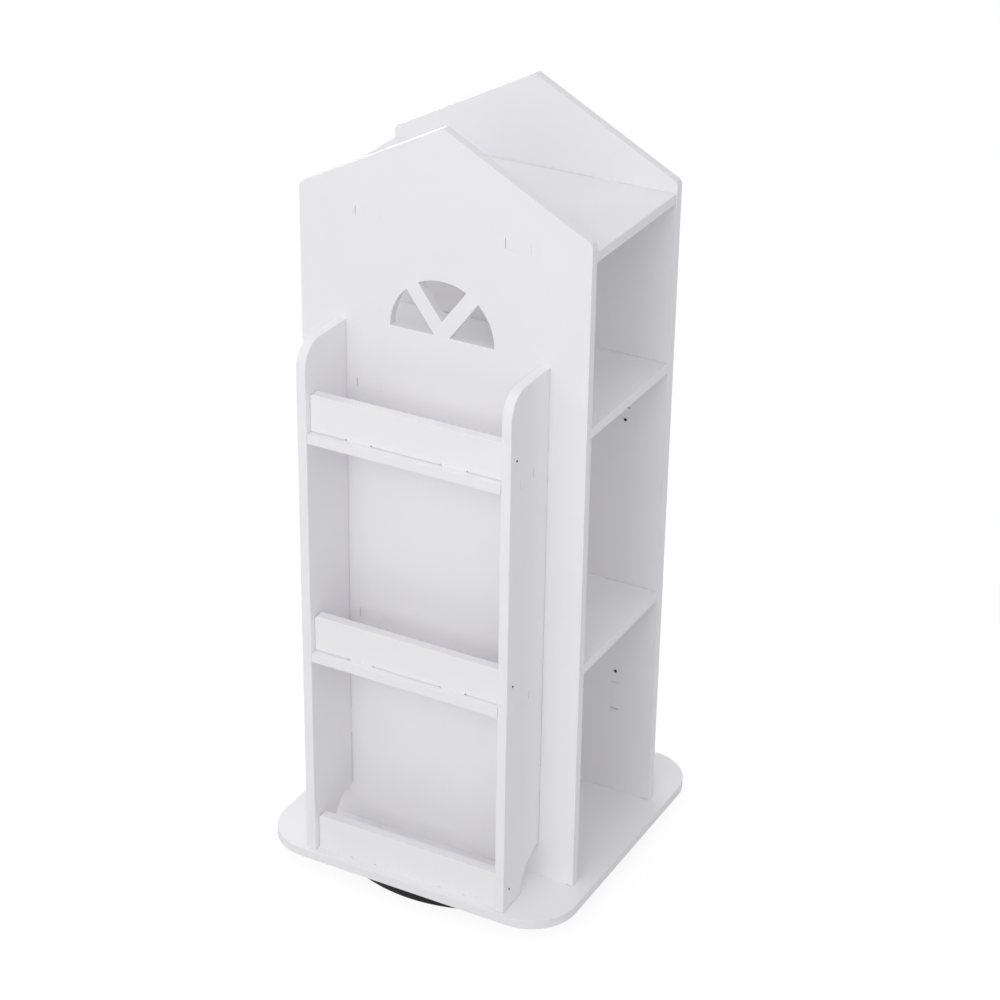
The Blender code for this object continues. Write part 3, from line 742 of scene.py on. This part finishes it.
def lathe(tree, points, steps):
    """Turns a closed or axis-to-axis profile in the XZ plane round the Z axis."""
    path = 0.5  # radius of the circle that carries the profile, which is laid flat on it
    split = tree.add("ShaderNodeSeparateXYZ", at={0: tree.add("GeometryNodeInputPosition")}).outputs
    across = tree.maths("SUBTRACT", split["X"], path)
    flat = tree.vector(X=across, Y=tree.maths("MULTIPLY", split["Z"], -1))
    laid = tree.add("GeometryNodeSetPosition", at={"Geometry": points, "Position": flat})
    profile = tree.add("GeometryNodeMeshToCurve", at={"Mesh": laid})
    at = {"Resolution": steps, "Radius": path}
    circle = tree.add("GeometryNodeCurvePrimitiveCircle", at=at)
    at = {"Curve": circle, "Profile Curve": profile}
    swept = tree.add("GeometryNodeCurveToMesh", at=at)
    at = {"Geometry": swept, "Distance": MERGE_DISTANCE}
    return tree.add("GeometryNodeMergeByDistance", at=at)


def screw_blank(tree, given):
    """A pan head and its shank, turned from one profile."""
    point = tree.add("GeometryNodeInputIndex")
    head_profile = [*HEAD_PROFILE, (0, -1), (0, 0), (0, 0), (0, 0)]
    shank_profile = [(0, 0)] * len(HEAD_PROFILE) + [*SHANK_PROFILE]
    parts = []
    for label, profile, radius, length in (
        ("Head", head_profile, "Head Radius", "Head Height"),
        ("Shank", shank_profile, "Shank Radius", "Length"),
    ):
        switch = tree.add("GeometryNodeIndexSwitch", label, data_type="VECTOR")
        while len(switch.index_switch_items) < len(profile):
            switch.index_switch_items.new()
        tree.feed(switch.inputs["Index"], point)
        for k, (away, height) in enumerate(profile):
            switch.inputs[k + 1].default_value = (away, 0, height)
        size = tree.vector(X=given[radius], Z=given[length])
        parts.append(tree.vectors("MULTIPLY", switch, size))
    line = tree.add("GeometryNodeMeshLine", at={"Count": len(head_profile)})
    place = tree.vectors("ADD", *parts)
    outline = tree.add("GeometryNodeSetPosition", at={"Geometry": line, "Position": place})
    return lathe(tree, outline, SCREW_STEPS)


def recess_bars(tree, given):
    """The two bars that cut the cross recess, narrower at the bottom."""
    doubled = tree.maths("MULTIPLY", given["Recess Width"], 2.0)
    length = tree.maths("MULTIPLY", given["Head Radius"], doubled)
    width = tree.maths("MULTIPLY", length, RECESS_BAR_WIDTH)
    height = tree.maths("MULTIPLY", given["Head Height"], RECESS_BAR_HEIGHT)
    bars = []
    for size in ({"X": length, "Y": width, "Z": height}, {"X": width, "Y": length, "Z": height}):
        bar = tree.add("GeometryNodeMeshCube", at={"Size": tree.vector(**size)})
        here = tree.add("GeometryNodeInputPosition")
        at = {"A": tree.part(here, "Z"), "B": 0.0}
        low = tree.add("FunctionNodeCompare", data_type="FLOAT", operation="LESS_THAN", at=at)
        narrow = tree.vectors("MULTIPLY", here, RECESS_BAR_TAPER)
        at = {"Geometry": bar.outputs["Mesh"], "Selection": low, "Position": narrow}
        bars.append(tree.add("GeometryNodeSetPosition", "Tapered", at=at).outputs[0])
    return bars


def screw_thread(tree, given):
    """A sharp-crested thread wound round the shank."""
    threaded = tree.maths("MULTIPLY", given["Length"], THREADED)
    spiral = tree.add(
        "GeometryNodeCurveSpiral",
        at={
            "Resolution": THREAD_STEPS,
            "Rotations": tree.maths("DIVIDE", threaded, given["Thread Pitch"]),
            "Start Radius": given["Shank Radius"],
            "End Radius": given["Shank Radius"],
            "Height": threaded,
        },
    )
    drop = tree.vector(Z=tree.maths("MULTIPLY", given["Length"], -THREAD_END))
    lowered = tree.add("GeometryNodeSetPosition", at={"Geometry": spiral, "Offset": drop})
    crest = tree.maths("SUBTRACT", given["Thread Radius"], given["Shank Radius"])
    at = {"Resolution": THREAD_CORNERS, "Radius": crest}
    section = tree.add("GeometryNodeCurvePrimitiveCircle", at=at)
    at = {"Curve": lowered, "Profile Curve": section, "Fill Caps": True}
    return tree.add("GeometryNodeCurveToMesh", at=at)


def screw_tree():
    """Pan-head screws with a cross recess and a thread, one on each point.

    A screw's head faces the way of its point's "outward", and its shank points the other way.
    """
    group, tree, given = geometry_tree(
        "pan_head_screws",
        [
            ("Head Radius", "Float", 0.0021),
            ("Head Height", "Float", 0.0009),
            ("Shank Radius", "Float", 0.001),
            ("Thread Radius", "Float", 0.0013),
            ("Thread Pitch", "Float", 0.0013),
            ("Length", "Float", 0.03),
            ("Recess Width", "Float", 0.62),
            ("Turn Seed", "Int", 4),
            ("Material", "Material", None),
        ],
    )
    at = {"Mesh 1": screw_blank(tree, given), "Mesh 2": recess_bars(tree, given)}
    cut = tree.add("GeometryNodeMeshBoolean", operation="DIFFERENCE", solver="EXACT", at=at)
    both = [screw_thread(tree, given).outputs[0], cut.outputs[0]]
    whole = tree.add("GeometryNodeJoinGeometry", at={0: both})

    outward = tree.add(
        "GeometryNodeInputNamedAttribute", data_type="FLOAT_VECTOR", at={"Name": "outward"}
    )
    facing = tree.add("FunctionNodeAlignRotationToVector", axis="Z", at={"Vector": outward})
    at = {"Max": math.tau, "Seed": given["Turn Seed"]}
    any_turn = tree.add("FunctionNodeRandomValue", data_type="FLOAT", at=at)
    chance = next(output for output in any_turn.outputs if output.enabled)
    spun = tree.add("FunctionNodeEulerToRotation", at={0: tree.vector(Z=chance)})
    at = {"Rotation": facing, "Rotate By": spun}
    turned = tree.add("FunctionNodeRotateRotation", rotation_space="LOCAL", at=at)
    at = {"Points": given["Geometry"], "Instance": whole, "Rotation": turned}
    placed = tree.add("GeometryNodeInstanceOnPoints", at=at)
    close_tree(tree, placed, given["Material"])
    return group


def ribbed_dish_tree():
    """A dish turned from the profile that its mesh gives, with ribs that stand on its floor."""
    group, tree, given = geometry_tree(
        "ribbed_dish",
        [
            ("Steps", "Int", DISH_STEPS),
            ("Rib Count", "Int", 24),
            ("Rib Start", "Float", 0.12),
            ("Rib End", "Float", 0.2),
            ("Rib Foot", "Float", 0.01),
            ("Rib Height", "Float", 0.005),
            ("Rib Thickness", "Float", 0.0018),
            ("Material", "Material", None),
        ],
    )
    dish = lathe(tree, given["Geometry"], given["Steps"])
    length = tree.maths("SUBTRACT", given["Rib End"], given["Rib Start"])
    ends = tree.maths("ADD", given["Rib End"], given["Rib Start"])
    middle = tree.maths("MULTIPLY", ends, 0.5)
    ring = tree.add("GeometryNodeMeshCircle", at={"Vertices": given["Rib Count"], "Radius": middle})
    size = tree.vector(X=length, Y=given["Rib Thickness"], Z=given["Rib Height"])
    rib = tree.add("GeometryNodeMeshCube", at={"Size": size}).outputs["Mesh"]
    half = tree.maths("MULTIPLY", given["Rib Height"], 0.5)
    lift = tree.vector(Z=tree.maths("ADD", given["Rib Foot"], half))
    raised = tree.add("GeometryNodeSetPosition", at={"Geometry": rib, "Offset": lift})
    at = {"Vector": tree.add("GeometryNodeInputPosition")}
    radial = tree.add("FunctionNodeAlignRotationToVector", axis="X", pivot_axis="Z", at=at)
    at = {"Points": ring, "Instance": raised, "Rotation": radial}
    ribs = tree.add("GeometryNodeInstanceOnPoints", at=at)
    joined = tree.add("GeometryNodeJoinGeometry", at={0: [ribs.outputs[0], dish.outputs[0]]})
    close_tree(tree, joined, given["Material"])
    return group


def ball_ring_tree():
    """Balls spaced round a flat ring that runs through all of them."""
    group, tree, given = geometry_tree(
        "ball_ring",
        [
            ("Balls", "Int", 12),
            ("Ring Radius", "Float", RACE_RADIUS),
            ("Ball Radius", "Float", 0.003),
            ("Height", "Float", 0.018),
            ("Cage Width", "Float", 0.009),
            ("Cage Thickness", "Float", 0.0015),
            ("Material", "Material", None),
        ],
    )
    at = {"Vertices": given["Balls"], "Radius": given["Ring Radius"]}
    places = tree.add("GeometryNodeMeshCircle", at=at)
    at = {"Segments": BALL_SEGMENTS, "Rings": BALL_RINGS, "Radius": given["Ball Radius"]}
    ball = tree.add("GeometryNodeMeshUVSphere", at=at).outputs["Mesh"]
    balls = tree.add("GeometryNodeInstanceOnPoints", at={"Points": places, "Instance": ball})
    at = {"Resolution": CAGE_STEPS, "Radius": given["Ring Radius"]}
    track = tree.add("GeometryNodeCurvePrimitiveCircle", at=at)
    at = {"Width": given["Cage Width"], "Height": given["Cage Thickness"]}
    section = tree.add("GeometryNodeCurvePrimitiveQuadrilateral", at=at)
    cage = tree.add("GeometryNodeCurveToMesh", at={"Curve": track, "Profile Curve": section})
    joined = tree.add("GeometryNodeJoinGeometry", at={0: [balls.outputs[0], cage.outputs[0]]})
    at = {"Geometry": joined, "Translation": tree.vector(Z=given["Height"])}
    close_tree(tree, tree.add("GeometryNodeTransform", at=at), given["Material"])
    return group


# Operators


class MakeBaseBoard(bpy.types.Operator):
    """Makes the lacquered base board with its four round corners"""

    bl_idname = "bookcase.base_board"
    bl_label = "Base Board"
    bl_options = {"REGISTER", "UNDO"}

    def execute(self, context):
        make_boards(context, {"base_board": ()})
        return {"FINISHED"}


class MakeGables(bpy.types.Operator):
    """Makes the two house-shaped gables, the front one with its half-round window"""

    bl_idname = "bookcase.gables"
    bl_label = "Gables"
    bl_options = {"REGISTER", "UNDO"}

    def execute(self, context):
        make_boards(context, {name: ("base_board",) for name in ("front_gable", "rear_gable")})
        return {"FINISHED"}


class MakeShelves(bpy.types.Operator):
    """Makes the two shelves and the roof board between the gables"""

    bl_idname = "bookcase.shelves"
    bl_label = "Shelves"
    bl_options = {"REGISTER", "UNDO"}

    def execute(self, context):
        gables = ("front_gable", "rear_gable")
        shelves = ("lower_shelf", "upper_shelf", "roof_board")
        make_boards(context, {name: gables for name in shelves})
        return {"FINISHED"}


class MakeRacks(bpy.types.Operator):
    """Makes the boards of the display racks on the front and the rear gable"""

    bl_idname = "bookcase.racks"
    bl_label = "Display Racks"
    bl_options = {"REGISTER", "UNDO"}

    def execute(self, context):
        boards = {}
        for end in ("front", "rear"):
            sides = tuple(f"{end}_rack_{hand}_side" for hand in ("left", "right"))
            boards.update({side: (f"{end}_gable",) for side in sides})
            for tier in ("middle", "top"):
                boards[f"{end}_rack_{tier}_shelf"] = sides
                boards[f"{end}_rack_{tier}_lip"] = (f"{end}_rack_{tier}_shelf",)
            boards[f"{end}_rack_bottom_lip"] = ("base_board",)
        make_boards(context, boards)
        return {"FINISHED"}


class MakeScrews(bpy.types.Operator):
    """Makes every screw from one geometry tree, on points taken from the CAD screws"""

    bl_idname = "bookcase.screws"
    bl_label = "Screws"
    bl_options = {"REGISTER", "UNDO"}

    def execute(self, context):
        settings = context.scene.bookcase_screws
        material = shared_material("blackened_steel", blackened_steel, settings.steel)
        group = screw_tree()
        kinds = {
            "lip": "_lip_screw_",
            "side": "_side_screw_",
            "base": "_base_screw_",
            "plate": "top_plate_screw_",
        }
        for kind, word in kinds.items():
            nodes = sorted(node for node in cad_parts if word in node)
            heads = [self.head(node, kind) for node in nodes]
            points = bpy.data.meshes.new(kind + "_screw_points")
            points.from_pydata([place for place, _, _, _ in heads], [], [])
            outward = points.attributes.new("outward", "FLOAT_VECTOR", "POINT")
            for k, (_, out, _, _) in enumerate(heads):
                outward.data[k].vector = out
            _, _, length, radius = heads[0]
            values = {
                "Length": length,
                "Head Radius": radius,
                "Head Height": radius * HEAD_HEIGHT,
                "Shank Radius": radius * SHANK_RADIUS,
                "Thread Radius": radius * THREAD_RADIUS,
                "Thread Pitch": radius * settings.pitch,
                "Recess Width": settings.recess,
                "Turn Seed": settings.turn_seed + len(kind),
                "Material": material,
            }
            name = kind + "_screws"
            made = grown(group, points, name, values)
            piece(name, made, "bookcase", nodes)
        return {"FINISHED"}

    @staticmethod
    def head(node, kind):
        """A CAD screw's crown, the way that its head faces, its length and its head's radius."""
        low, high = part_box(node)
        middle = (low + high) / 2
        if kind == "lip":
            out = Vector((math.copysign(1, middle.x), 0, 0))
        elif kind == "side":
            out = Vector((0, -math.copysign(1, middle.y), 0))
        else:
            out = Vector((0, 0, -1))
        size = high - low
        length = max(size)
        return middle + out * length / 2, out, length, min(size) / 2


class MakeTurntable(bpy.types.Operator):
    """Makes the ribbed black dish and the ball ring, and finishes the plate, pivot and pads"""

    bl_idname = "bookcase.turntable"
    bl_label = "Turntable"
    bl_options = {"REGISTER", "UNDO"}

    def execute(self, context):
        settings = context.scene.bookcase_turntable
        plastic = shared_material("moulded_black_plastic", moulded_plastic, settings.plastic)
        steel = shared_material("zinc_plated_steel", zinc_plated_steel)
        rubber = shared_material("foot_rubber", foot_rubber)
        self.make_dish(settings, plastic)
        self.make_balls(settings, steel)
        finishes = {"turntable_top_plate": steel, "pivot_bolt": steel, "pivot_lock_nut": steel}
        pads = (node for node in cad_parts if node.startswith("floor_pad_"))
        finishes.update({node: rubber for node in pads})
        for node, material in finishes.items():
            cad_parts[node].material_slots[0].material = material
        return {"FINISHED"}

    @staticmethod
    def dish_profile(radius, bottom, floor, top):
        """Distances from the axis and heights round the dish's section, from its underside."""
        pocket = bottom + POCKET_DEPTH
        race = floor + RACE_HEIGHT
        points = [(POCKET_RADIUS, bottom), (POCKET_RADIUS, pocket)]
        points += [(BOLT_HOLE_RADIUS, pocket), (BOLT_HOLE_RADIUS, floor)]
        points += [(RACE_INNER - RACE_FOOT, floor), (RACE_INNER, floor + RACE_FOOT)]
        points += [(RACE_INNER, race - RACE_CHAMFER), (RACE_INNER + RACE_CHAMFER, race)]
        for degrees in GROOVE_TURNS:
            turn = math.radians(degrees)
            across, up = GROOVE_RADIUS * math.cos(turn), GROOVE_RADIUS * math.sin(turn)
            points.append((RACE_RADIUS + across, race + GROOVE_RISE + up))
        points += [(RACE_OUTER - RACE_CHAMFER, race), (RACE_OUTER, race - RACE_CHAMFER)]
        points += [(RACE_OUTER, floor + RACE_FOOT), (RACE_OUTER + RACE_FOOT, floor)]
        levels = {"bottom": bottom, "floor": floor, "top": top}
        points += [(radius - inward, levels[level] + up) for inward, level, up in RIM_SECTION]
        return points

    @classmethod
    def make_dish(cls, settings, plastic):
        low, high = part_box("turntable_base")
        floor = low.z + DISH_FLOOR
        profile = cls.dish_profile(high.x, low.z, floor, high.z)
        count = len(profile)
        edges = [(k, (k + 1) % count) for k in range(count)]
        mesh = bpy.data.meshes.new("dish_profile")
        mesh.from_pydata([(away, 0, height) for away, height in profile], edges, [])
        values = {
            "Rib Count": settings.ribs,
            "Rib Thickness": settings.rib_thickness,
            "Rib Start": RACE_OUTER - RIB_SINK,
            "Rib End": high.x - RIM_WIDTH + RIB_SINK,
            "Rib Foot": floor - RIB_SINK,
            "Rib Height": RIB_HEIGHT,
            "Material": plastic,
        }
        made = grown(ribbed_dish_tree(), mesh, "turntable_dish", values)
        piece("turntable_dish", made, "turntable", ["turntable_base"])

    @staticmethod
    def make_balls(settings, steel):
        low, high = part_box("turntable_ball_cage")
        values = {"Balls": settings.balls, "Height": (low.z + high.z) / 2, "Material": steel}
        mesh = grown(ball_ring_tree(), bpy.data.meshes.new("ring_start"), "ball_ring", values)
        piece("ball_ring", mesh, "ball_cage", ["turntable_ball_cage"])


class SetStage(bpy.types.Operator):
    """Sets the pale floor, the soft light and the camera"""

    bl_idname = "bookcase.stage"
    bl_label = "Stage"
    bl_options = {"REGISTER", "UNDO"}

    def execute(self, context):
        settings = context.scene.bookcase_stage
        context.scene.view_settings.view_transform = "Standard"
        self.make_floor()
        self.make_sky(context, settings)
        for name, turn, up, width, power in SOFTBOXES:
            self.make_softbox(name, math.radians(turn), math.radians(up), width, power, settings)
        self.make_camera(context, settings)
        return {"FINISHED"}

    @staticmethod
    def make_floor():
        bm = bmesh.new()
        bmesh.ops.create_circle(bm, cap_ends=True, radius=FLOOR_RADIUS, segments=FLOOR_STEPS)
        mesh = bpy.data.meshes.new("floor")
        bm.to_mesh(mesh)
        bm.free()
        mesh.materials.append(pale_floor())
        floor = bpy.data.objects.new("floor", mesh)
        bpy.context.scene.collection.objects.link(floor)

    @staticmethod
    def make_sky(context, settings):
        world = bpy.data.worlds.new("soft_white_room")
        world.use_nodes = True
        tree = Tree(world.node_tree)
        light = world.node_tree.nodes["Background"]
        light.inputs["Color"].default_value = WHITE
        light.inputs["Strength"].default_value = settings.sky
        seen = tree.add("ShaderNodeBackground", at={"Color": WHITE, "Strength": 1.0})
        both = tree.add("ShaderNodeMixShader", at={0: seen_directly(tree), 1: light, 2: seen})
        tree.feed(world.node_tree.nodes["World Output"].inputs["Surface"], both)
        context.scene.world = world

    @staticmethod
    def make_softbox(name, turn, up, width, power, settings):
        """A square lamp that faces the middle of the bookcase."""
        lamp = bpy.data.lights.new(name, "AREA")
        lamp.shape = "SQUARE"
        lamp.size = width
        lamp.energy = power * settings.lamps
        made = bpy.data.objects.new(name, lamp)
        level = math.cos(up)
        away = Vector((math.sin(turn) * level, -math.cos(turn) * level, math.sin(up)))
        made.location = SOFTBOX_AIM + SOFTBOX_DISTANCE * away
        made.rotation_euler = (-away).to_track_quat("-Z", "Y").to_euler()
        made.visible_camera = False
        bpy.context.scene.collection.objects.link(made)

    @staticmethod
    def make_camera(context, settings):
        """A camera that looks along +Y, then is rolled, tipped forward and turned about Z."""
        tip, roll, turn = settings.camera_turn
        aim = Matrix.Rotation(turn, 4, "Z") @ Matrix.Rotation(-tip, 4, "X")
        aim = aim @ Matrix.Rotation(math.pi / 2, 4, "X") @ Matrix.Rotation(roll, 4, "Z")
        lens = bpy.data.cameras.new("camera")
        lens.sensor_width = SENSOR_WIDTH
        lens.lens = settings.focal_length
        camera = bpy.data.objects.new("camera", lens)
        camera.matrix_world = Matrix.Translation(settings.camera_place) @ aim
        context.scene.collection.objects.link(camera)
        context.scene.camera = camera


OPERATORS = (
    MakeBaseBoard,
    MakeGables,
    MakeShelves,
    MakeRacks,
    MakeScrews,
    MakeTurntable,
    SetStage,
)
SETTINGS = (
    ("bookcase_boards", BoardSettings),
    ("bookcase_screws", ScrewSettings),
    ("bookcase_turntable", TurntableSettings),
    ("bookcase_stage", StageSettings),
)


class BookcasePanel(bpy.types.Panel):
    """Lists the settings and the operators that make the bookcase"""

    bl_idname = "VIEW3D_PT_revolving_bookcase"
    bl_label = "Revolving Bookcase"
    bl_space_type = "VIEW_3D"
    bl_region_type = "UI"
    bl_category = "Bookcase"

    def draw(self, context):
        for word, _ in SETTINGS:
            box = self.layout.box()
            settings = getattr(context.scene, word)
            box.label(text=word.split("_")[1].title())
            for entry in settings.bl_rna.properties:
                if entry.identifier not in ("name", "rna_type"):
                    box.prop(settings, entry.identifier)
        column = self.layout.column(align=True)
        for operator in OPERATORS:
            column.operator(operator.bl_idname)


def register():
    for word, settings in SETTINGS:
        bpy.utils.register_class(settings)
        setattr(bpy.types.Scene, word, PointerProperty(type=settings))
    for shown in (*OPERATORS, BookcasePanel):
        bpy.utils.register_class(shown)


def unregister():
    for shown in (BookcasePanel, *reversed(OPERATORS)):
        bpy.utils.unregister_class(shown)
    for word, settings in reversed(SETTINGS):
        delattr(bpy.types.Scene, word)
        bpy.utils.unregister_class(settings)


def main():
    register()
    bpy.ops.bookcase.base_board()
    bpy.ops.bookcase.gables()
    bpy.ops.bookcase.shelves()
    bpy.ops.bookcase.racks()
    bpy.ops.bookcase.screws()
    bpy.ops.bookcase.turntable()
    bpy.ops.bookcase.stage()


if __name__ == "__main__":
    main()
